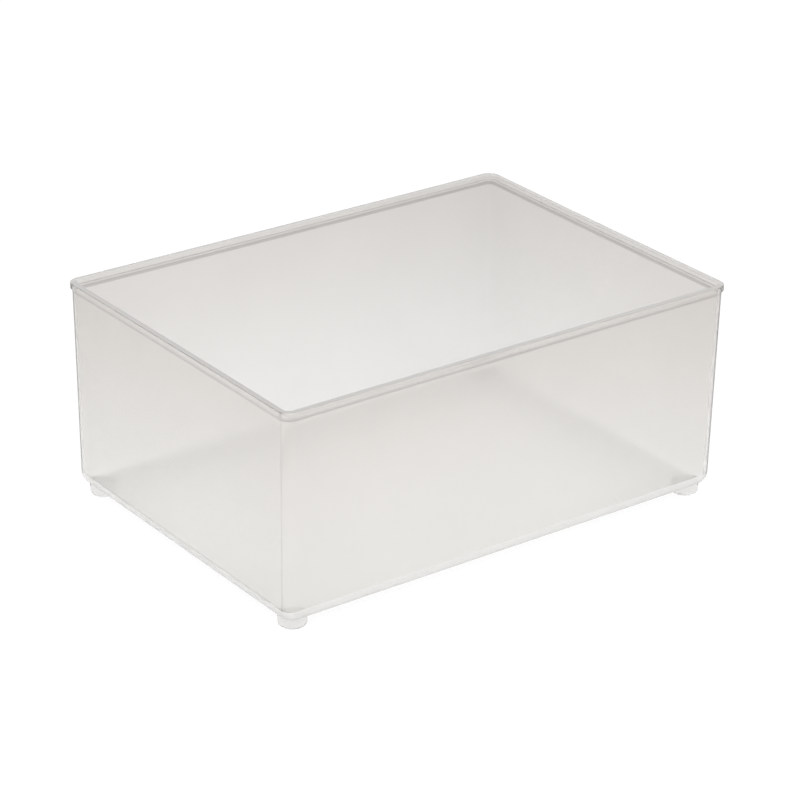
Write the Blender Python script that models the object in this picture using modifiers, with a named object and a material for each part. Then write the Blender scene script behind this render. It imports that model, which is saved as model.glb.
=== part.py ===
"""An open storage box: a translucent moulded tub with a lipped rim, standing on four clear round feet.

Metres, +Z up. The origin lies on the surface that the box stands on, under the middle of the tub.
+X runs along the long side, and -Y is the front.
"""

import math

import bmesh
import bpy

# Driving dimensions of the tub
RIM_LENGTH = 0.220  # over the lip, along X
RIM_WIDTH = 0.158  # over the lip, along Y
TUB_HEIGHT = 0.0920  # from the tub's underside to the top of the rim
WALL_THICKNESS = 0.0018
FLOOR_THICKNESS = 0.0020
WALL_LEAN = 0.0011  # how far each wall comes in from the rim to the floor
CORNER_RADIUS = 0.0045  # of the upright outer corners
BOTTOM_RADIUS = 0.0066  # of the outer rounding between wall and floor

# Driving dimensions of the lip
LIP_OVERHANG = 0.0008  # how far it stands out from the wall
LIP_HEIGHT = 0.0027
LIP_ROUNDING = 0.0004  # along its two outer edges
RIM_INNER_ROUNDING = 0.0003  # along the rim's inner edge

# Driving dimensions of a foot
FOOT_DROP = 0.0032  # from the tub's underside to the ground
FOOT_RADIUS = 0.00585
FOOT_ROUNDING = 0.0016  # around its lower edge
FOOT_SETBACK = 0.0098  # from the lip's outer faces to the middle of a foot
FOOT_CLEARANCE = 0.0003  # between a foot and the tub above it

# Fineness of the curved surfaces
CORNER_STEPS = 8  # for a quarter turn of a corner
ROUNDING_STEPS = 8  # for a quarter turn between wall and floor
EDGE_STEPS = 3  # for a quarter turn of a small edge
FOOT_SIDES = 40
FOOT_ROUNDING_STEPS = 4  # for a quarter turn of a foot's lower edge
SMOOTH_ANGLE = math.radians(35)
MERGE_DISTANCE = 0.00001

TUB_COLOUR = (0.83, 0.82, 0.80, 1.0)
TUB_ROUGHNESS = 0.35
FOOT_COLOUR = (0.90, 0.90, 0.89, 1.0)
FOOT_ROUGHNESS = 0.08

# Levels and widths that follow from the sizes above
UNDERSIDE = FOOT_DROP
RIM_TOP = UNDERSIDE + TUB_HEIGHT
LIP_BOTTOM = RIM_TOP - LIP_HEIGHT
FLOOR_TOP = UNDERSIDE + FLOOR_THICKNESS
CAVITY_RADIUS = CORNER_RADIUS - WALL_THICKNESS
CAVITY_BOTTOM_RADIUS = BOTTOM_RADIUS - WALL_THICKNESS
RIM_RADIUS = CORNER_RADIUS + LIP_OVERHANG


def quarter_turn(steps):
    """Cosine and sine at even steps from 0 to 90 degrees."""
    angles = [math.radians(90) * step / steps for step in range(steps + 1)]
    return [(math.cos(angle), math.sin(angle)) for angle in angles]


def wall_inset(height):
    """How far the wall's outer face lies inside the lip's outer face at a height."""
    return LIP_OVERHANG + WALL_LEAN * (RIM_TOP - height) / TUB_HEIGHT


def ring(inset, height, radius):
    """A section of the tub: a level rounded rectangle, this far inside the lip's outer faces."""
    middle_x = RIM_LENGTH / 2 - inset - radius
    middle_y = RIM_WIDTH / 2 - inset - radius
    points = []
    for side_x, side_y, first in ((1, 1, 0), (-1, 1, 90), (-1, -1, 180), (1, -1, 270)):
        for step in range(CORNER_STEPS + 1):
            angle = math.radians(first + 90 * step / CORNER_STEPS)
            x = side_x * middle_x + radius * math.cos(angle)
            y = side_y * middle_y + radius * math.sin(angle)
            points.append((x, y, height))
    return points


def outer_rings(grown=0):
    """The tub's outer sections from its underside to just under the lip, grown outward by a clearance."""
    radius = BOTTOM_RADIUS + grown
    low = UNDERSIDE - grown
    corner = CORNER_RADIUS + grown
    rings = []
    for cosine, sine in quarter_turn(ROUNDING_STEPS):
        height = low + radius * (1 - cosine)
        inset = wall_inset(height) - grown + radius * (1 - sine)
        rings.append(ring(inset, height, corner))
    rings.append(ring(wall_inset(LIP_BOTTOM) - grown, LIP_BOTTOM, corner))
    return rings


def rim_rings():
    """The lip and the rim's flat top, from under the lip round to the rim's inner edge."""
    rings = []
    for cosine, sine in quarter_turn(EDGE_STEPS):
        inset = LIP_ROUNDING * (1 - sine)
        rings.append(ring(inset, LIP_BOTTOM + LIP_ROUNDING * (1 - cosine), RIM_RADIUS - inset))
    for cosine, sine in quarter_turn(EDGE_STEPS):
        inset = LIP_ROUNDING * (1 - cosine)
        rings.append(ring(inset, RIM_TOP - LIP_ROUNDING * (1 - sine), RIM_RADIUS - inset))
    wall = LIP_OVERHANG + WALL_THICKNESS
    for cosine, sine in quarter_turn(EDGE_STEPS):
        inset = wall - RIM_INNER_ROUNDING * (1 - sine)
        height = RIM_TOP - RIM_INNER_ROUNDING * (1 - cosine)
        rings.append(ring(inset, height, RIM_RADIUS - inset))
    return rings


def cavity_rings():
    """The cavity's sections, from the bottom of its walls round to its floor."""
    radius = CAVITY_BOTTOM_RADIUS
    rings = []
    for cosine, sine in quarter_turn(ROUNDING_STEPS):
        height = FLOOR_TOP + radius * (1 - sine)
        inset = wall_inset(height) + WALL_THICKNESS + radius * (1 - cosine)
        rings.append(ring(inset, height, CAVITY_RADIUS))
    return rings


def loft(name, rings):
    """A closed solid skinned over rings of equal counts, with its first and last rings filled."""
    shape = bmesh.new()
    loops = [[shape.verts.new(point) for point in section] for section in rings]
    for lower, upper in zip(loops, loops[1:]):
        for here in range(len(lower)):
            after = (here + 1) % len(lower)
            shape.faces.new((lower[here], lower[after], upper[after], upper[here]))
    shape.faces.new(reversed(loops[0]))
    shape.faces.new(loops[-1])
    mesh = bpy.data.meshes.new(name)
    shape.to_mesh(mesh)
    shape.free()
    return bpy.data.objects.new(name, mesh)


def make_material(name, colour, roughness):
    """A plain plastic of one colour."""
    material = bpy.data.materials.new(name)
    material.use_nodes = True
    shader = material.node_tree.nodes["Principled BSDF"]
    shader.inputs["Base Color"].default_value = colour
    shader.inputs["Roughness"].default_value = roughness
    shader.inputs["Metallic"].default_value = 0.0
    material.diffuse_color = colour
    return material


def shade(obj, material):
    """Gives a piece its material, and shades its rounds smooth and its flats flat."""
    obj.data.materials.clear()
    obj.data.materials.append(material)
    obj.data.shade_smooth()
    obj.data.set_sharp_from_angle(angle=SMOOTH_ANGLE)
    obj.modifiers.new("flat_faces_stay_flat", "WEIGHTED_NORMAL").keep_sharp = True


def foot_blank(name):
    """A foot before the tub is cut from it: its half section, turned about Z.

    The section runs across its top, down its side, round its lower edge and along its underside.
    The top lies as high as the tub's bottom rounding, which leaves none of it clear of the tub.
    """
    top = UNDERSIDE + BOTTOM_RADIUS
    flat = FOOT_RADIUS - FOOT_ROUNDING
    section = [(0, top), (FOOT_RADIUS, top)]
    for cosine, sine in quarter_turn(FOOT_ROUNDING_STEPS):
        section.append((flat + FOOT_ROUNDING * cosine, FOOT_ROUNDING * (1 - sine)))
    section.append((0, 0))
    mesh = bpy.data.meshes.new(name)
    edges = [(start, start + 1) for start in range(len(section) - 1)]
    mesh.from_pydata([(x, 0, z) for x, z in section], edges, [])
    foot = bpy.data.objects.new(name, mesh)
    turn = foot.modifiers.new("turn", "SCREW")
    turn.steps = FOOT_SIDES
    turn.render_steps = FOOT_SIDES
    turn.use_merge_vertices = True
    turn.merge_threshold = MERGE_DISTANCE
    return foot


def apply_modifiers(obj):
    """Replaces a piece's mesh with what its modifiers make of it."""
    bpy.context.view_layer.update()
    evaluated = obj.evaluated_get(bpy.context.evaluated_depsgraph_get())
    mesh = bpy.data.meshes.new_from_object(evaluated)
    mesh.name = obj.name
    obj.modifiers.clear()
    obj.data = mesh


def clear_scene():
    for obj in list(bpy.data.objects):
        bpy.data.objects.remove(obj, do_unlink=True)


def new_collection(name):
    collection = bpy.data.collections.new(name)
    bpy.context.scene.collection.children.link(collection)
    return collection


def main():
    clear_scene()
    box = new_collection("storage_box")
    cutters = new_collection("cutters")

    tub = loft("tub", outer_rings() + rim_rings() + cavity_rings())
    box.objects.link(tub)
    shade(tub, make_material("frosted_plastic", TUB_COLOUR, TUB_ROUGHNESS))

    seat = loft("foot_seat", outer_rings(FOOT_CLEARANCE))
    cutters.objects.link(seat)
    seat.hide_render = True
    seat.display_type = "WIRE"

    clear_plastic = make_material("clear_plastic", FOOT_COLOUR, FOOT_ROUGHNESS)
    foot_x = RIM_LENGTH / 2 - FOOT_SETBACK
    foot_y = RIM_WIDTH / 2 - FOOT_SETBACK
    for row, side_y in (("front", -1), ("back", 1)):
        for column, side_x in (("left", -1), ("right", 1)):
            foot = foot_blank(f"foot_{row}_{column}")
            foot.location = (side_x * foot_x, side_y * foot_y, 0)
            box.objects.link(foot)
            fit = foot.modifiers.new("fit_to_tub", "BOOLEAN")
            fit.operation = "DIFFERENCE"
            fit.solver = "EXACT"
            fit.object = seat
            apply_modifiers(foot)
            shade(foot, clear_plastic)


main()
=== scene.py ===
# %% [markdown]
# An open storage box in frosted plastic. The real one is a single moulded tub: four thin walls that lean
# in a little towards a flat floor, a lip round the rim that keeps the walls straight, and four small clear
# feet under the corners. What makes it hard is that it is see-through. Every wall is seen against another
# wall, so shape, thickness and finish all have to be right at once. This lesson builds the walls as one
# closed surface with a true thickness, so that the shader can bend the light through them as plastic does.

# %% The frame
import math

import bpy
import numpy as np
from mathutils import Matrix, Vector


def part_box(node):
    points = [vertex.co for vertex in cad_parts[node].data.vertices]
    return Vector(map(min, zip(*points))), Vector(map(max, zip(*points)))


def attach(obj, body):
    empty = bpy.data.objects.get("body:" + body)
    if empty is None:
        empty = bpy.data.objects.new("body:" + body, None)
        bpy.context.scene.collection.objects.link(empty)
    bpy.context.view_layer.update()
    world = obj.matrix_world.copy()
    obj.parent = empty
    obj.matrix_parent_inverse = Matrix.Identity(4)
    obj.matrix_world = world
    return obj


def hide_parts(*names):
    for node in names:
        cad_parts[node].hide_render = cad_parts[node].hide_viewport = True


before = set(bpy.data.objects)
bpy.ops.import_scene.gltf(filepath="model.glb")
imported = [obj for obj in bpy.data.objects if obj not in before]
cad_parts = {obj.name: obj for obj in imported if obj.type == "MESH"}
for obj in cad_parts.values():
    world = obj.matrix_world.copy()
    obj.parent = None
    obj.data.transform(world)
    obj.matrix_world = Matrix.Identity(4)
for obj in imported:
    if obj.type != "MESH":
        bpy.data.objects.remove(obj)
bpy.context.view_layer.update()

MM = 0.001
CM3 = 1e-6

# %% [markdown]
# The camera stands a little above the box and looks at its front left corner, so that two outer walls and
# two inner walls show. A long lens a good metre away keeps the upright edges nearly parallel, as product
# photographs do. Blender's camera looks along its own -Z, so its axes are built from the viewing angles,
# and a small roll is added about the line of sight.

# %% The camera
VIEW_AZIMUTH = math.radians(-36.75)  # 0 looks along +Y
VIEW_ELEVATION = math.radians(24.95)
VIEW_ROLL = math.radians(0.82)
VIEW_DISTANCE = 1.3075
AIM = Vector((0.0008, -0.0015, 0.0427))
LENS = 142.0  # millimetres, on a sensor 36 mm wide

flat = math.cos(VIEW_ELEVATION)
back = Vector((math.sin(VIEW_AZIMUTH) * flat, -math.cos(VIEW_AZIMUTH) * flat, math.sin(VIEW_ELEVATION)))
right = Vector((math.cos(VIEW_AZIMUTH), math.sin(VIEW_AZIMUTH), 0))
axes = Matrix((right, back.cross(right), back)).transposed()
turn = axes @ Matrix.Rotation(VIEW_ROLL, 3, "Z")

camera = bpy.data.objects.new("camera", bpy.data.cameras.new("camera"))
camera.data.lens = LENS
camera.matrix_world = Matrix.Translation(AIM + VIEW_DISTANCE * back) @ turn.to_4x4()
bpy.context.scene.collection.objects.link(camera)
bpy.context.scene.camera = camera
print("camera at", [round(x, 3) for x in camera.location])

# %% [markdown]
# Every material here is a small tree of nodes. It could be clicked together in the shader editor, but a few
# helpers keep it readable as a script: one adds a node with its inputs, one is a line of arithmetic, one
# carries a value smoothly between two levels, and one tells rays that look from rays that carry light.

# %% Helpers for shader trees
A_NUMBER, B_NUMBER, MIXED_NUMBER = 2, 3, 0  # where a Mix node takes two numbers, and gives their mix
A_COLOUR, B_COLOUR, MIXED_COLOUR = 6, 7, 2  # and the same for colours


def fill(tree, socket, value):
    """Gives an input its value, or links it where the value is another node's output."""
    if isinstance(value, bpy.types.NodeSocket):
        tree.links.new(value, socket)
    else:
        socket.default_value = value


def add(tree, kind, **sockets):
    """A node of a kind, with values or links for its inputs by name."""
    node = tree.nodes.new(kind)
    for name, value in sockets.items():
        fill(tree, node.inputs[name.replace("_", " ")], value)
    return node


def maths(tree, operation, *values):
    """The output of a Math node over one to three numbers or sockets."""
    node = tree.nodes.new("ShaderNodeMath")
    node.operation = operation
    for socket, value in zip(node.inputs, values):
        fill(tree, socket, value)
    return node.outputs[0]


def ramp(tree, value, low, high, start, end):
    """A value carried smoothly from start at low to end at high."""
    node = add(tree, "ShaderNodeMapRange", Value=value, From_Min=low, From_Max=high, To_Min=start, To_Max=end)
    node.interpolation_type = "SMOOTHSTEP"
    return node.outputs[0]


def looking(tree):
    """The Light Path node, and an output that is 1 for rays from the camera, off gloss or through plastic."""
    path = add(tree, "ShaderNodeLightPath")
    seen = maths(tree, "MAXIMUM", path.outputs["Is Camera Ray"], path.outputs["Is Glossy Ray"])
    return path, maths(tree, "MAXIMUM", seen, path.outputs["Is Transmission Ray"])


print("helpers: fill, add, maths, ramp, looking")

# %% [markdown]
# Clear and frosted plastic mostly shows what stands round it, so the studio matters as much as the finish.
# It is a white room. A picture of a studio could serve as the world, but a plain world is easier to tune,
# and can have two answers: a ray that looks straight at it, or through or off the plastic, meets the white
# backdrop, and a ray that carries light to a matt surface meets an even light that is a little stronger.
# High overhead the backdrop is dimmer for gloss and clear plastic, which gives the feet and the rounded
# edges the grey lines that tell clear plastic from air.

# %% The room
SKY_STRENGTH = 1.1
CEILING_SHADE = 0.8
CEILING_STARTS, CEILING_FULL = 0.35, 0.85  # sine of the angle above the horizon

world = bpy.data.worlds.new("white_room")
world.use_nodes = True
tree = world.node_tree
path, seen = looking(tree)
direction = add(tree, "ShaderNodeSeparateXYZ", Vector=add(tree, "ShaderNodeTexCoord").outputs["Generated"])
shade = ramp(tree, direction.outputs["Z"], CEILING_STARTS, CEILING_FULL, 1.0, CEILING_SHADE)
shade = maths(tree, "MAXIMUM", shade, path.outputs["Is Camera Ray"])
strength = add(tree, "ShaderNodeMix", Factor=seen)
strength.inputs[A_NUMBER].default_value = SKY_STRENGTH
tree.links.new(shade, strength.inputs[B_NUMBER])
tree.links.new(strength.outputs[MIXED_NUMBER], tree.nodes["Background"].inputs["Strength"])
tree.nodes["Background"].inputs["Color"].default_value = (1, 1, 1, 1)
bpy.context.scene.world = world
bpy.context.scene.view_settings.view_transform = "Standard"
print("room light", SKY_STRENGTH, "ceiling seen at", CEILING_SHADE)

# %% [markdown]
# One large soft lamp hangs in front of the box and above it. A sun or a spot would draw hard edges, and an
# area lamp of this size gives only a faint shadow under the tub.

# %% The lamp
LAMP_SIZE = 1.6
LAMP_POWER = 6.0
LAMP_PLACE = Vector((-0.25, -0.9, 1.8))

softbox = bpy.data.objects.new("softbox", bpy.data.lights.new("softbox", "AREA"))
softbox.data.size = LAMP_SIZE
softbox.data.energy = LAMP_POWER
softbox.location = LAMP_PLACE
softbox.rotation_mode = "QUATERNION"
softbox.rotation_quaternion = LAMP_PLACE.to_track_quat("Z", "Y")
bpy.context.scene.collection.objects.link(softbox)
print("lamp", LAMP_SIZE, "m wide,", LAMP_POWER, "W")

# %% [markdown]
# The floor is one white square. A matt paint gives back light and takes the box's shadow, and a glow that
# only looking rays meet lifts it to the white of a photograph's background. To those rays the paint itself
# is dark, or the two together would be lighter than white. A plain even glow would make the walls too
# light, because each one is seen against the floor behind it. On a real table the light falls off round the
# object, so for rays through or off the plastic the glow is a pool that fades outwards.

# %% The floor
FLOOR_SIZE = 8.0
FLOOR_DROP = 0.1 * MM  # keeps the floor clear of the feet's undersides
FLOOR_PAINT = 0.85
FLOOR_PAINT_SEEN = 0.12
FLOOR_GLOW_SEEN = 0.92
POOL_INNER, POOL_OUTER = 0.08, 0.40  # where the pool of light starts to fade, and where it ends
POOL_EDGE_SHARE = 0.62

floor_mesh = bpy.data.meshes.new("floor")
half = FLOOR_SIZE / 2
corners = [(x, y, -FLOOR_DROP) for x, y in ((-half, -half), (half, -half), (half, half), (-half, half))]
floor_mesh.from_pydata(corners, [], [(0, 1, 2, 3)])
floor = bpy.data.objects.new("floor", floor_mesh)
bpy.context.scene.collection.objects.link(floor)


def floor_paint():
    """Matt paint, and a glow for looking rays that fades with the distance from the middle of the box."""
    material = bpy.data.materials.new("floor_paint")
    material.use_nodes = True
    tree = material.node_tree
    tree.nodes.clear()
    path, seen = looking(tree)
    white = ramp(tree, seen, 0.0, 1.0, FLOOR_PAINT, FLOOR_PAINT_SEEN)
    colour = add(tree, "ShaderNodeCombineColor", Red=white, Green=white, Blue=white)
    matt = add(tree, "ShaderNodeBsdfDiffuse", Color=colour.outputs[0])
    spot = add(tree, "ShaderNodeVectorMath", Vector=add(tree, "ShaderNodeTexCoord").outputs["Object"])
    spot.operation = "LENGTH"
    pool = add(tree, "ShaderNodeMapRange", Value=spot.outputs["Value"], From_Min=POOL_INNER,
               From_Max=POOL_OUTER, To_Min=1.0, To_Max=POOL_EDGE_SHARE).outputs[0]
    pool = maths(tree, "MAXIMUM", pool, path.outputs["Is Camera Ray"])
    glow = maths(tree, "MULTIPLY", maths(tree, "MULTIPLY", seen, pool), FLOOR_GLOW_SEEN)
    glow = add(tree, "ShaderNodeEmission", Strength=glow)
    both = add(tree, "ShaderNodeAddShader")
    tree.links.new(matt.outputs[0], both.inputs[0])
    tree.links.new(glow.outputs[0], both.inputs[1])
    add(tree, "ShaderNodeOutputMaterial", Surface=both.outputs[0])
    return material


floor_mesh.materials.append(floor_paint())
print("floor", FLOOR_SIZE, "m across, pool from", POOL_INNER, "to", POOL_OUTER, "m")

# %% [markdown]
# The tub could be a box with its top face removed and a Solidify modifier, but its corners, lip and
# roundings would then need bevels that fight each other. It is really one section carried round a rounded
# rectangle, as the mould's cutter carried it. So each point of the surface is found from two numbers:
# where it lies along the way round, and where it lies along the section, which runs from the middle of the
# underside, out and up the wall, over the lip, and down the inside to the middle of the floor.

# %% The way round the tub
CORNER_STEPS = 24
SIDE_STEPS = 36


def way_round():
    """Stations on the way round a rounded rectangle, as arrays.

    Each station has the outward direction (nx, ny) and shares (sx, sy) from -1 to 1. A ring with half sizes
    a and b and corner radius r then passes through x = sx (a - r) + nx r and y = sy (b - r) + ny r. Along a
    corner the shares stay and the direction turns. Along a side the direction stays and the shares run on.
    """
    turn = np.radians(90) * np.arange(CORNER_STEPS) / CORNER_STEPS
    run = np.arange(SIDE_STEPS) / SIDE_STEPS
    signs = np.array([(1, 1), (-1, 1), (-1, -1), (1, -1)], float)
    parts = []
    for number, here in enumerate(signs):
        angle = np.radians(90) * number + turn
        parts.append(np.column_stack([np.cos(angle), np.sin(angle), *np.outer(here, np.ones(CORNER_STEPS))]))
        end = np.radians(90) * (number + 1)
        outward = np.tile((np.cos(end), np.sin(end)), (SIDE_STEPS, 1))
        shares = here + run[:, None] * (signs[(number + 1) % len(signs)] - here)
        parts.append(np.column_stack([outward, shares]))
    return np.concatenate(parts).T


WAY = way_round()
print("stations round the tub:", WAY.shape[1])

# %% [markdown]
# The section follows the moulding. Its length, width and height come from the frame, and its other sizes
# are named here. The wall is 1.8 mm thick and leans in by 1.1 mm over its height, so that the tub comes out
# of its mould. The lip stands 0.8 mm proud and is 2.7 mm high.

# %% The sizes of the section
tub_low, tub_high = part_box("tub")
UNDERSIDE, RIM_TOP = tub_low.z, tub_high.z
HALF_LENGTH, HALF_WIDTH = tub_high.x, tub_high.y
WALL = 1.8 * MM
FLOOR_THICKNESS = 2.0 * MM
WALL_LEAN = 1.1 * MM
CORNER_RADIUS = 4.5 * MM
BOTTOM_RADIUS = 6.6 * MM
LIP_OVERHANG = 0.8 * MM
LIP_HEIGHT = 2.7 * MM
FLOOR_TOP = UNDERSIDE + FLOOR_THICKNESS
LIP_BOTTOM = RIM_TOP - LIP_HEIGHT
print("tub", round((RIM_TOP - UNDERSIDE) / MM, 2), "mm high, floor", round(FLOOR_TOP / MM, 2), "mm up")

# %% [markdown]
# Curves along the section are quarter circles, from one helper. Bevels could round the edges afterwards, but
# here each point also has to say whether it lies on the inner skin, and which of three finishes it has,
# because the rim's top and the bottom edge are finished differently from the walls further on.

# %% Points along the section
WALLS, TOP, EDGE = 0, 1, 2  # the three finishes: of the walls and floor, the rim's top and the bottom edge


def quarter(steps):
    """Cosine and sine at even steps from 0 to 90 degrees, as two arrays."""
    angle = np.radians(90) * np.arange(steps + 1) / steps
    return np.cos(angle), np.sin(angle)


def wall_inset(height):
    """How far the wall's outer face lies inside the lip's: the overhang, and a share of the lean."""
    return LIP_OVERHANG + WALL_LEAN * (RIM_TOP - height) / (RIM_TOP - UNDERSIDE)


def rows(inset, height, radius, share=1.0, inside=0.0, finish=0.0):
    """Section points as columns.

    The first three are inset, height and corner radius. The share of the way out from the middle is 1 but
    on the flat floor. The last two say whether a point is on the inner skin, and which finish it has.
    """
    return np.column_stack(np.broadcast_arrays(inset, height, radius, share, inside, finish))


print("inset of the wall at the floor:", round(wall_inset(UNDERSIDE) / MM, 2), "mm")

# %% [markdown]
# The outside runs from the middle of the underside round to the lip. A small cove fills the corner under
# the lip, because a mould has no sharp inner corners. It catches the thin dark line that a real lip has.

# %% The outside of the section
ROUND_STEPS = 20
EDGE_STEPS = 8
WALL_STEPS = 30
FLOOR_STEPS = 6
COVE_WIDTH = 0.25 * MM
COVE_HEIGHT = 1.6 * MM


def outer_rows():
    """The underside, the quarter circle up to the wall, the straight wall, and the cove under the lip."""
    cosine, sine = quarter(ROUND_STEPS)
    low = UNDERSIDE + BOTTOM_RADIUS * (1 - cosine)
    rounding = rows(wall_inset(low) + BOTTOM_RADIUS * (1 - sine), low, CORNER_RADIUS, finish=EDGE)
    spread = np.linspace(0, 1, FLOOR_STEPS, endpoint=False)
    underside = rows(rounding[0, 0], UNDERSIDE, CORNER_RADIUS, spread)
    up = np.linspace(low[-1], LIP_BOTTOM - COVE_HEIGHT, WALL_STEPS + 1)[1:]
    wall = rows(wall_inset(up), up, CORNER_RADIUS)
    cosine, sine = quarter(EDGE_STEPS)
    inset = wall_inset(LIP_BOTTOM) - COVE_WIDTH * (1 - cosine)
    height = LIP_BOTTOM - COVE_HEIGHT * (1 - sine)
    cove = rows(inset, height, CORNER_RADIUS + COVE_WIDTH * (1 - cosine))[1:]
    return [underside, rounding, wall, cove]


OUTSIDE = outer_rows()
print("points along the outside:", [len(stretch) for stretch in OUTSIDE])

# %% [markdown]
# The rim is a lip with both outer edges broken, a flat top, and a smaller rounding at its inner edge. Only
# the faces that look up have the finish of the rim's top, so it ends halfway round each rounding.

# %% The rim of the section
LIP_ROUNDING = 0.4 * MM
RIM_INNER_ROUNDING = 0.3 * MM


def rim_rows():
    """The lip's lower and upper rounding and the rim's inner edge, three quarter circles joined by flats."""
    cosine, sine = quarter(EDGE_STEPS)
    rim_radius = CORNER_RADIUS + LIP_OVERHANG
    inset = LIP_ROUNDING * (1 - sine)
    lip_low = rows(inset, LIP_BOTTOM + LIP_ROUNDING * (1 - cosine), rim_radius - inset)
    inset = LIP_ROUNDING * (1 - cosine)
    height = RIM_TOP - LIP_ROUNDING * (1 - sine)
    lip_high = rows(inset, height, rim_radius - inset, finish=TOP * (sine > cosine))
    inset = LIP_OVERHANG + WALL - RIM_INNER_ROUNDING * (1 - sine)
    height = RIM_TOP - RIM_INNER_ROUNDING * (1 - cosine)
    inner_edge = rows(inset, height, rim_radius - inset, inside=1.0, finish=TOP * (cosine > sine))
    return [lip_low, lip_high, inner_edge]


RIM = rim_rows()
print("points along the rim:", [len(stretch) for stretch in RIM])

# %% [markdown]
# The inside follows the outside at the wall's thickness. Only the upright corners differ: they are a little
# rounder inside than an even wall would make them, and so slightly thicker, which gives the near corner its
# soft line.

# %% The inside of the section
INNER_CORNER_RADIUS = 3.0 * MM


def inner_rows():
    """The inner wall, the quarter circle down to the floor, and the floor in to its middle."""
    cosine, sine = quarter(ROUND_STEPS)
    radius = BOTTOM_RADIUS - WALL
    turned = FLOOR_TOP + radius * (1 - sine)
    down = np.linspace(RIM_TOP - RIM_INNER_ROUNDING, turned[0], WALL_STEPS + 1)[1:-1]
    wall = rows(wall_inset(down) + WALL, down, INNER_CORNER_RADIUS, inside=1.0)
    inset = wall_inset(turned) + WALL + radius * (1 - cosine)
    rounding = rows(inset, turned, INNER_CORNER_RADIUS, inside=1.0)
    spread = np.linspace(0, 1, FLOOR_STEPS, endpoint=False)[::-1]
    floor_rows = rows(inset[-1], FLOOR_TOP, INNER_CORNER_RADIUS, spread, inside=1.0)
    return [wall, rounding, floor_rows]


SECTION = np.concatenate(OUTSIDE + RIM + inner_rows())
print("points along the section:", len(SECTION))

# %% [markdown]
# The way round and the section together give the skin. A thin open tub never stays quite straight: as the
# plastic cools, its long walls draw in by a few tenths of a millimetre at the middle of the rim, and its
# short walls by less. A Lattice could bend the walls, but here the bow is just one more term in the formula.

# %% The points of the tub
BOW = 0.35 * MM  # how far the rim is drawn in at the middle of a long wall
BOW_GROWTH = 1.5  # the power of the height with which the bow grows


def bow(share, height, amount):
    """How far a wall is drawn in at a share of the way from its middle to an end, and at a height.

    It falls with the square of the share, from the full amount to nothing, and grows with a power of the
    height above the floor.
    """
    rise = np.clip((height - FLOOR_TOP) / (RIM_TOP - FLOOR_TOP), 0, 1)
    return amount * (1 - share**2) * rise**BOW_GROWTH


def tub_points():
    """Every point of the tub's skin, one row for each section point and one column for each station.

    It is the formula of the way round, with the lip's half sizes less the section's inset. On a straight
    side the bow is taken off, and on the floor and underside the ring shrinks by its share of the way out.
    """
    nx, ny, sx, sy = WAY[:, None, :]
    inset, height, radius, share = SECTION.T[:4, :, None]
    x = sx * (HALF_LENGTH - inset - radius) + nx * radius
    y = sy * (HALF_WIDTH - inset - radius) + ny * radius
    y = y - ny * bow(sx, height, BOW) * np.abs(ny) * (np.abs(sx) < 1)
    x = x - nx * bow(sy, height, BOW * HALF_WIDTH / HALF_LENGTH) * np.abs(nx) * (np.abs(sy) < 1)
    return np.stack([x * share, y * share, np.broadcast_to(height, x.shape)], axis=-1)


TUB_POINTS = tub_points()
print("points on the tub:", TUB_POINTS.shape[0] * TUB_POINTS.shape[1])

# %% [markdown]
# The grid of points becomes a mesh. The points could be added one by one, but foreach_set takes whole
# arrays. Neighbouring rings are joined by four-sided faces, and the last station joins the first. At both
# ends the rings close to a single point with a fan of triangles, so the skin has no hole.

# %% From a grid to a closed skin


def closed_skin(name, grid):
    """A closed mesh over a grid of points. Its rows are rings, and the first and last rows are one point."""
    count = grid.shape[1]
    rings = grid[1:-1]
    points = np.concatenate([grid[:1, 0], rings.reshape(-1, 3), grid[-1:, 0]])
    here = 1 + np.arange(len(rings))[:, None] * count + np.arange(count)
    after = np.roll(here, -1, axis=1)
    quads = np.stack([here[:-1], after[:-1], after[1:], here[1:]], axis=-1).reshape(-1, 4)
    first = np.column_stack([np.zeros(count, int), after[0], here[0]])
    last = np.column_stack([np.full(count, len(points) - 1), here[-1], after[-1]])
    loops = np.concatenate([quads.ravel(), first.ravel(), last.ravel()])
    sizes = np.concatenate([np.full(len(quads), 4), np.full(2 * count, 3)])
    mesh = bpy.data.meshes.new(name)
    mesh.vertices.add(len(points))
    mesh.vertices.foreach_set("co", points.astype(np.float32).ravel())
    mesh.loops.add(len(loops))
    mesh.loops.foreach_set("vertex_index", loops.astype(np.int32))
    mesh.polygons.add(len(sizes))
    mesh.polygons.foreach_set("loop_start", (np.cumsum(sizes) - sizes).astype(np.int32))
    mesh.update(calc_edges=True)
    mesh.shade_smooth()
    piece = bpy.data.objects.new(name, mesh)
    bpy.context.scene.collection.objects.link(piece)
    return piece


tub_skin = closed_skin("frosted_tub", TUB_POINTS)
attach(tub_skin, "root")
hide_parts("tub")
print("faces of the tub:", len(tub_skin.data.polygons))

# %% [markdown]
# A skin that is inside out would still render, but glass would bend light the wrong way. The volume tells:
# it is the sum of the tetrahedra between each triangle and the origin, each a sixth of the triple product
# of its corners, and it is positive only if the faces look outward. So it is printed as a test.

# %% Measuring a piece


def measure(piece):
    """Prints a piece's count of triangles, its volume and its size."""
    mesh = piece.data
    mesh.calc_loop_triangles()
    corner = np.zeros(len(mesh.loop_triangles) * 3, np.int32)
    mesh.loop_triangles.foreach_get("vertices", corner)
    place = np.zeros(len(mesh.vertices) * 3, np.float32)
    mesh.vertices.foreach_get("co", place)
    place = place.reshape(-1, 3).astype(float)
    a, b, c = place[corner.reshape(-1, 3)].transpose(1, 0, 2)
    volume = np.einsum("ij,ij->i", a, np.cross(b, c)).sum() / 6
    size = ((place.max(0) - place.min(0)) / MM).round(2)
    print(piece.name, len(mesh.loop_triangles), "triangles,", round(volume / CM3, 2), "cm3,", size, "mm")


measure(tub_skin)

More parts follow.
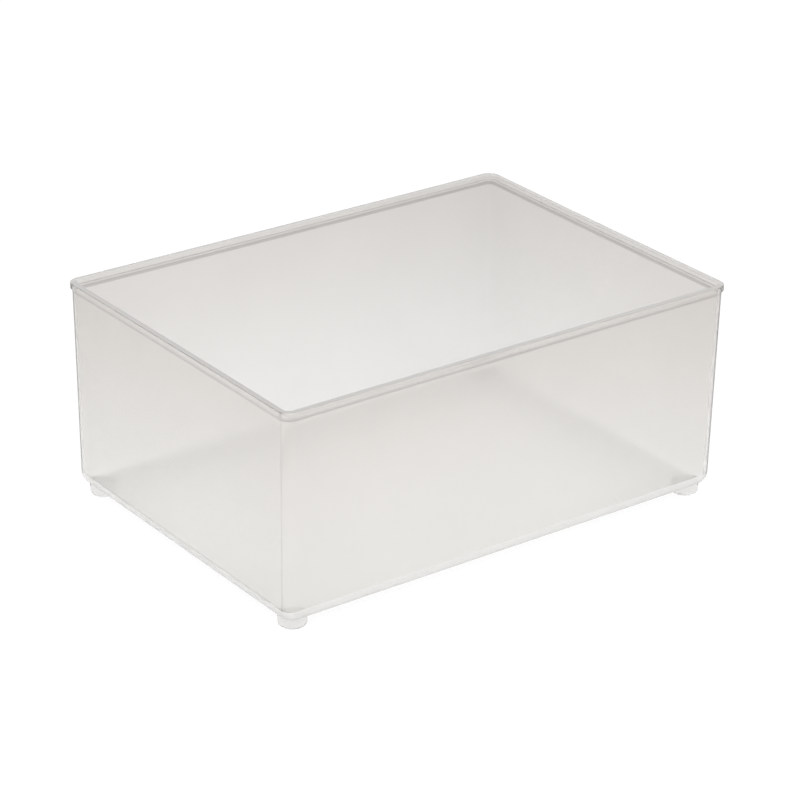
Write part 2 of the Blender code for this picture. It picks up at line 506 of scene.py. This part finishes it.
# %% [markdown]
# The materials need to know the inner skin from the outer one, so the section's column for that goes into
# the mesh as an attribute. The three finishes go in as material slots, face by face. On the real tub the
# rounding under the near walls shows as a pale band. Here a rounding as clear as the walls shows a dark
# line, and more bounces of light hardly lighten it. The real plastic probably scatters more light there. So
# the front and left walls, which are seen from outside, get a paler finish on that rounding. The back and
# right walls keep the clear one, because they are seen through the tub, where a paler rounding would show
# as a grey band that the real one hasn't got.

# %% The inner skin and the finishes
INSIDE_COLUMN, FINISH_COLUMN = 4, 5
FACING_LIMIT = 0.1  # an outward direction whose x and y sum to less looks to the front or to the left

per_row = WAY.shape[1]
inside = np.repeat(SECTION[:, INSIDE_COLUMN], per_row)
inside = inside[per_row - 1 : 1 - per_row]  # the first and last rows are one point each
tub_skin.data.attributes.new("inside", "FLOAT", "POINT").data.foreach_set("value", inside.astype(np.float32))

finish = np.minimum(SECTION[1:-2, FINISH_COLUMN], SECTION[2:-1, FINISH_COLUMN])[:, None]
facing = WAY[0] + WAY[1] < FACING_LIMIT
finish = np.where((finish == EDGE) & ~facing, WALLS, finish).ravel()
slots = np.zeros(len(tub_skin.data.polygons), np.int32)
slots[: len(finish)] = finish
tub_skin.data.polygons.foreach_set("material_index", slots)
print("faces of the walls, the rim's top and the bottom edge:", np.bincount(slots))

# %% [markdown]
# Each foot is a short clear peg whose top is hollowed to the tub's rounded corner. A Boolean would cut it,
# but leaves ragged triangles that clear plastic shows. So the seat is worked out from the tub's own
# rounding. It lies a hair inside the tub's skin, as a foot does that is moulded on, so that no gap shows.

# %% The seat of a foot
FOOT_SINK = 0.05 * MM
SEAT_PASSES = 4


def seat_height(x, y):
    """How high the tub's outer skin, drawn in by the foot's sink, lies over a point near a corner.

    The ring that passes over the point is found first. Its inset comes from the distance to the two wall
    lines, or where both are near, from the circle of the corner. The quarter circle between wall and
    underside then turns that inset into a height. The wall's lean depends a little on the height, so the
    two are worked out in turn a few times.
    """
    corner = CORNER_RADIUS - FOOT_SINK
    rounding = BOTTOM_RADIUS - FOOT_SINK
    a = np.abs(x) - (HALF_LENGTH - corner)
    b = np.abs(y) - (HALF_WIDTH - corner)
    across = np.maximum(2 * (corner**2 - a**2 - b**2) + (a + b) ** 2, 0)
    round_inset = (np.sqrt(across) - (a + b)) / 2
    flat_inset = corner - np.maximum(a, b)
    in_corner = (a + round_inset > 0) & (b + round_inset > 0)
    inset = np.where(in_corner, round_inset, flat_inset)
    low = UNDERSIDE + FOOT_SINK
    height = np.full_like(x, low)
    for _ in range(SEAT_PASSES):
        lean = 1 - (inset - wall_inset(height) - FOOT_SINK) / rounding
        lean = np.clip(lean, 0, 1)
        height = low + rounding * (1 - np.sqrt(1 - lean**2))
    return height


corner_low, corner_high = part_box("foot_front_left")
corner_middle = (corner_low + corner_high) / 2
middle_seat = seat_height(np.array([corner_middle.x]), np.array([corner_middle.y]))[0]
print("the seat over the middle of a foot lies", round(middle_seat / MM, 2), "mm up")

# %% [markdown]
# The foot itself is turned. A Screw modifier could turn its underside and side, but not its hollow top. So
# its rings run out along the underside, round the lower edge and up the side, and the rings of its top take
# their heights from the seat.

# %% The feet
FOOT_ROUNDING = 1.6 * MM
FOOT_SIDES = 72
FOOT_TOP_STEPS = 24


def foot_points(middle, radius):
    """A foot's rings: out along its underside, round its lower edge, up its side, and in along its seat."""
    angle = np.radians(360) * np.arange(FOOT_SIDES) / FOOT_SIDES
    flat = radius - FOOT_ROUNDING
    out = np.linspace(0, flat, FLOOR_STEPS, endpoint=False)
    cosine, sine = quarter(EDGE_STEPS)
    reach = np.concatenate([out, flat + FOOT_ROUNDING * sine])
    height = np.concatenate([np.zeros(len(out)), FOOT_ROUNDING * (1 - cosine)])
    top = np.linspace(radius, 0, FOOT_TOP_STEPS + 1)
    reach_all = np.concatenate([reach, top])[:, None]
    x = middle[0] + reach_all * np.cos(angle)
    y = middle[1] + reach_all * np.sin(angle)
    seat = seat_height(x[len(reach):], y[len(reach):])
    z = np.concatenate([np.broadcast_to(height[:, None], (len(reach), FOOT_SIDES)), seat])
    return np.stack([x, y, z], axis=-1)


feet = []
for row in ("front", "back"):
    for column in ("left", "right"):
        node = f"foot_{row}_{column}"
        low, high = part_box(node)
        middle = (low + high) / 2
        foot = closed_skin(f"clear_{node}", foot_points(middle, (high.x - low.x) / 2))
        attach(foot, "root")
        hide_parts(node)
        measure(foot)
        feet.append(foot)

# %% [markdown]
# Moulded plastic is never quite even. The melt leaves faint streaks of haze as it flows away from the
# middle of the floor, and the mould's polish leaves a fine ripple, like orange peel, that shows only where
# a highlight or an outline crosses it. Both are soft noise here, one coarse and one fine. Both plastics
# share them, so they are one node group. It puts out a tone, a roughness and a height, and each material
# mixes them in with its own strength.

# %% The moulded surface
RIPPLE_SCALE, RIPPLE_DETAIL = 420.0, 2.0
STREAK_SCALE, STREAK_DETAIL = 26.0, 3.0
NOISE_MIDDLE = 0.5
ROUGHNESS_SHARE = 0.5  # of the streaks' unevenness


def moulded_surface():
    """A node group: a tone near 1 for the base colour, a roughness, and a height for a bump."""
    group = bpy.data.node_groups.new("moulded_surface", "ShaderNodeTree")
    group.interface.new_socket("Place", in_out="INPUT", socket_type="NodeSocketVector")
    for name in ("Roughness", "Unevenness"):
        group.interface.new_socket(name, in_out="INPUT", socket_type="NodeSocketFloat")
    for name in ("Tone", "Roughness", "Height"):
        group.interface.new_socket(name, in_out="OUTPUT", socket_type="NodeSocketFloat")
    entry = group.nodes.new("NodeGroupInput").outputs
    result = group.nodes.new("NodeGroupOutput").inputs
    streak = add(group, "ShaderNodeTexNoise", Vector=entry["Place"], Scale=STREAK_SCALE, Detail=STREAK_DETAIL)
    ripple = add(group, "ShaderNodeTexNoise", Vector=entry["Place"], Scale=RIPPLE_SCALE, Detail=RIPPLE_DETAIL)
    uneven = maths(group, "SUBTRACT", streak.outputs[0], NOISE_MIDDLE)
    uneven = maths(group, "MULTIPLY", uneven, entry["Unevenness"])
    roughness = maths(group, "MULTIPLY_ADD", uneven, ROUGHNESS_SHARE, entry["Roughness"])
    group.links.new(maths(group, "ADD", 1.0, uneven), result["Tone"])
    group.links.new(roughness, result["Roughness"])
    group.links.new(ripple.outputs[0], result["Height"])
    return group


SURFACE = moulded_surface()
print("node group", SURFACE.name, "with", len(SURFACE.nodes), "nodes")

# %% [markdown]
# Both plastics are one Principled shader with a transmission weight. Its weight is the clear share: that
# much of the light goes through and is bent, and the rest is scattered by the body colour. A glass shader
# and a matt one could be mixed by hand instead, but this one shader is what other programs read.

# %% A plastic from its parts
BUMP_STRENGTH = 0.1
BUMP_DEPTH = 0.02 * MM


def surface_node(tree, roughness, unevenness):
    """Places the moulded surface in a material. Returns the object's own coordinates and its outputs."""
    place = add(tree, "ShaderNodeTexCoord").outputs["Object"]
    node = tree.nodes.new("ShaderNodeGroup")
    node.node_tree = SURFACE
    tree.links.new(place, node.inputs["Place"])
    node.inputs["Roughness"].default_value = roughness
    node.inputs["Unevenness"].default_value = unevenness
    return place, node.outputs


def scaled(tree, colour, factor):
    """A colour times a number that changes over the surface."""
    node = tree.nodes.new("ShaderNodeVectorMath")
    node.operation = "SCALE"
    fill(tree, node.inputs[0], colour)
    tree.links.new(factor, node.inputs["Scale"])
    return node.outputs[0]


def set_plastic(tree, colour, surface, index, clear_share):
    """Joins the colour and the surface to the shader, and sets its index of refraction and clear share."""
    shader = tree.nodes["Principled BSDF"].inputs
    bump = add(tree, "ShaderNodeBump", Strength=BUMP_STRENGTH, Distance=BUMP_DEPTH, Height=surface["Height"])
    tree.links.new(colour, shader["Base Color"])
    tree.links.new(surface["Roughness"], shader["Roughness"])
    tree.links.new(bump.outputs[0], shader["Normal"])
    shader["IOR"].default_value = index
    shader["Transmission Weight"].default_value = clear_share


print("ripple", BUMP_DEPTH / MM, "mm deep")

# %% [markdown]
# The body of the tub's plastic is nearly white low down and greyer and warmer towards the rim. The warmth is
# the plastic's own tint, and the grey is painted shade, for the white floor lights the lower walls more. Just
# behind the lip the real rim shows a dark band, faint on the outside and darker on the inside, and its flat
# top is darker too. Probably the thick plastic there bends the light away. These bands and the top are
# painted shade as well. They could be painted on a map, but a mask of the height needs none. Each darkens
# the body by its own amount.

# %% The painted shade of the walls and the rim
# Painted shade: the body colour turns greyer towards the rim, where the white floor lights the walls less.
BODY_PAINTED_LIT_LOW = (1.0, 0.9925, 0.9765)
BODY_PAINTED_SHADE_HIGH = (0.912, 0.887, 0.864)
# Painted shade: the rim's flat top is darkened, and so is a band below the lip on each skin.
TOP_FACE_PAINTED_SHADE = 0.65
OUTER_PAINTED_SHADE_BAND = (3.8 * MM, 0.7 * MM, 0.92)  # depth below the rim, half its width, and tone
INNER_PAINTED_SHADE_BAND = (3.65 * MM, 0.78 * MM, 0.64)
BAND_SOFTNESS = 0.4 * MM


def body_colour_painted_shade(tree, height):
    """The body's colour with its painted shade, mixed evenly from low to high between the floor and the rim.
    """
    up = ramp(tree, height, FLOOR_TOP, RIM_TOP, 0.0, 1.0)
    up.node.interpolation_type = "LINEAR"
    body = add(tree, "ShaderNodeMix", Factor=up)
    body.data_type = "RGBA"
    body.inputs[A_COLOUR].default_value = (*BODY_PAINTED_LIT_LOW, 1)
    body.inputs[B_COLOUR].default_value = (*BODY_PAINTED_SHADE_HIGH, 1)
    return body.outputs[MIXED_COLOUR]


def painted_shade_band(tree, height, skin, band):
    """1 away from a band of painted shade or off its skin, and the band's tone within it, with soft edges."""
    depth, half_width, tone = band
    away = maths(tree, "ABSOLUTE", maths(tree, "SUBTRACT", height, RIM_TOP - depth))
    mask = ramp(tree, away, half_width - BAND_SOFTNESS / 2, half_width + BAND_SOFTNESS / 2, 1.0, 0.0)
    return maths(tree, "MULTIPLY_ADD", maths(tree, "MULTIPLY", mask, skin), tone - 1, 1.0)


def rim_painted_shade(tree, height, inner):
    """The painted shade of the outer band, the inner band and the rim's flat top, multiplied."""
    outer = maths(tree, "SUBTRACT", 1.0, inner)
    outer_shade = painted_shade_band(tree, height, outer, OUTER_PAINTED_SHADE_BAND)
    inner_shade = painted_shade_band(tree, height, inner, INNER_PAINTED_SHADE_BAND)
    top_shade = ramp(tree, height, RIM_TOP - RIM_INNER_ROUNDING, RIM_TOP, 1.0, TOP_FACE_PAINTED_SHADE)
    return maths(tree, "MULTIPLY", maths(tree, "MULTIPLY", outer_shade, inner_shade), top_shade)


print("body from", BODY_PAINTED_LIT_LOW, "to", BODY_PAINTED_SHADE_HIGH)

# %% [markdown]
# On the floor a painted shade lies along the back and right walls, strongest near the rounding, and thins out
# towards the middle. On the real tub it is probably the shade of these two walls in the frosted floor.
# The walls here throw hardly any, so the shade is painted into the floor's colour, by the distance from
# each wall.

# %% The painted shade on the floor
# Painted shade on the floor beside the back and right walls.
PAINTED_SHADE_BACK = 0.53
PAINTED_SHADE_RIGHT = 0.39
PAINTED_SHADE_REACH = 17 * MM
PAINTED_SHADE_START = 4.5 * MM
PAINTED_SHADE_EDGE = 3 * MM
PAINTED_SHADE_FULL_BELOW, PAINTED_SHADE_NONE_ABOVE = 1 * MM, 3 * MM  # heights above the floor


def wall_painted_shade(tree, from_wall, amount):
    """Painted shade by a wall, rising over the inner rounding and falling by the exponent of the distance."""
    start = ramp(tree, from_wall, PAINTED_SHADE_START, PAINTED_SHADE_START + PAINTED_SHADE_EDGE, 0.0, amount)
    fall = maths(tree, "EXPONENT", maths(tree, "DIVIDE", from_wall, -PAINTED_SHADE_REACH))
    return maths(tree, "MULTIPLY", start, fall)


def floor_painted_shade(tree, axes, inner):
    """1 less the painted shade, which lies only on the inner skin and just above the floor."""
    right = wall_painted_shade(tree, maths(tree, "SUBTRACT", HALF_LENGTH, axes["X"]), PAINTED_SHADE_RIGHT)
    back = wall_painted_shade(tree, maths(tree, "SUBTRACT", HALF_WIDTH, axes["Y"]), PAINTED_SHADE_BACK)
    painted_floor_shade = maths(tree, "MULTIPLY", maths(tree, "MAXIMUM", right, back), inner)
    low = ramp(tree, axes["Z"], FLOOR_TOP + PAINTED_SHADE_FULL_BELOW, FLOOR_TOP + PAINTED_SHADE_NONE_ABOVE, 1.0, 0.0)
    return maths(tree, "SUBTRACT", 1.0, maths(tree, "MULTIPLY", painted_floor_shade, low))


print("haze reaches", PAINTED_SHADE_REACH / MM, "mm from the back and right walls")

# %% [markdown]
# The tub's plastic is frosted: part of the light goes straight through and is hardly blurred, and the rest
# is scattered, which gives the wall a pale body of its own. The three finishes differ only in their clear
# share. The rim's top is the least clear, because the eye looks down through the whole wall there, and the
# paler bottom edge lies between the two.

# %% Frosted plastic
CLEAR_SHARE = 0.83
TOP_CLEAR_SHARE = 0.30
EDGE_CLEAR_SHARE = 0.42
TUB_ROUGHNESS = 0.14
TUB_UNEVENNESS = 0.04
PLASTIC_IOR = 1.49


def frosted_plastic(name, clear_share):
    """A finish of the tub: the body's colour times its painted shade and the moulded surface's tone."""
    material = bpy.data.materials.new(name)
    material.use_nodes = True
    tree = material.node_tree
    place, surface = surface_node(tree, TUB_ROUGHNESS, TUB_UNEVENNESS)
    axes = add(tree, "ShaderNodeSeparateXYZ", Vector=place).outputs
    attribute = add(tree, "ShaderNodeAttribute")
    attribute.attribute_name = "inside"
    inner = attribute.outputs["Fac"]
    # Painted shade of the rim and of the floor beside the back and right walls, times the moulded surface's
    # tone.
    tone = maths(tree, "MULTIPLY", rim_painted_shade(tree, axes["Z"], inner), floor_painted_shade(tree, axes, inner))
    tone = maths(tree, "MULTIPLY", tone, surface["Tone"])
    colour = scaled(tree, body_colour_painted_shade(tree, axes["Z"]), tone)
    set_plastic(tree, colour, surface, PLASTIC_IOR, clear_share)
    return material


tub_skin.data.materials.append(frosted_plastic("frosted_plastic", CLEAR_SHARE))
tub_skin.data.materials.append(frosted_plastic("rim_frosted_plastic", TOP_CLEAR_SHARE))
tub_skin.data.materials.append(frosted_plastic("edge_frosted_plastic", EDGE_CLEAR_SHARE))
print("clear shares: walls", CLEAR_SHARE, "rim's top", TOP_CLEAR_SHARE, "bottom edge", EDGE_CLEAR_SHARE)

# %% [markdown]
# The feet are clearer than the tub and polished. A solid peg that bends light by the plastic's full index
# turns dark, but the real feet are pale with a thin darker lower edge, as hollow ones might be. A much
# lower index stands in for that.

# %% Clear plastic
FOOT_CLEAR_SHARE = 0.90
FOOT_BODY = (0.88, 0.87, 0.86)
FOOT_ROUGHNESS = 0.06
FOOT_UNEVENNESS = 0.14
FOOT_IOR = 1.08


def clear_plastic():
    """The finish of the feet."""
    material = bpy.data.materials.new("clear_plastic")
    material.use_nodes = True
    tree = material.node_tree
    _, surface = surface_node(tree, FOOT_ROUGHNESS, FOOT_UNEVENNESS)
    set_plastic(tree, scaled(tree, FOOT_BODY, surface["Tone"]), surface, FOOT_IOR, FOOT_CLEAR_SHARE)
    return material


glassy = clear_plastic()
for foot in feet:
    foot.data.materials.append(glassy)
print("clear share of", len(feet), "feet:", FOOT_CLEAR_SHARE)
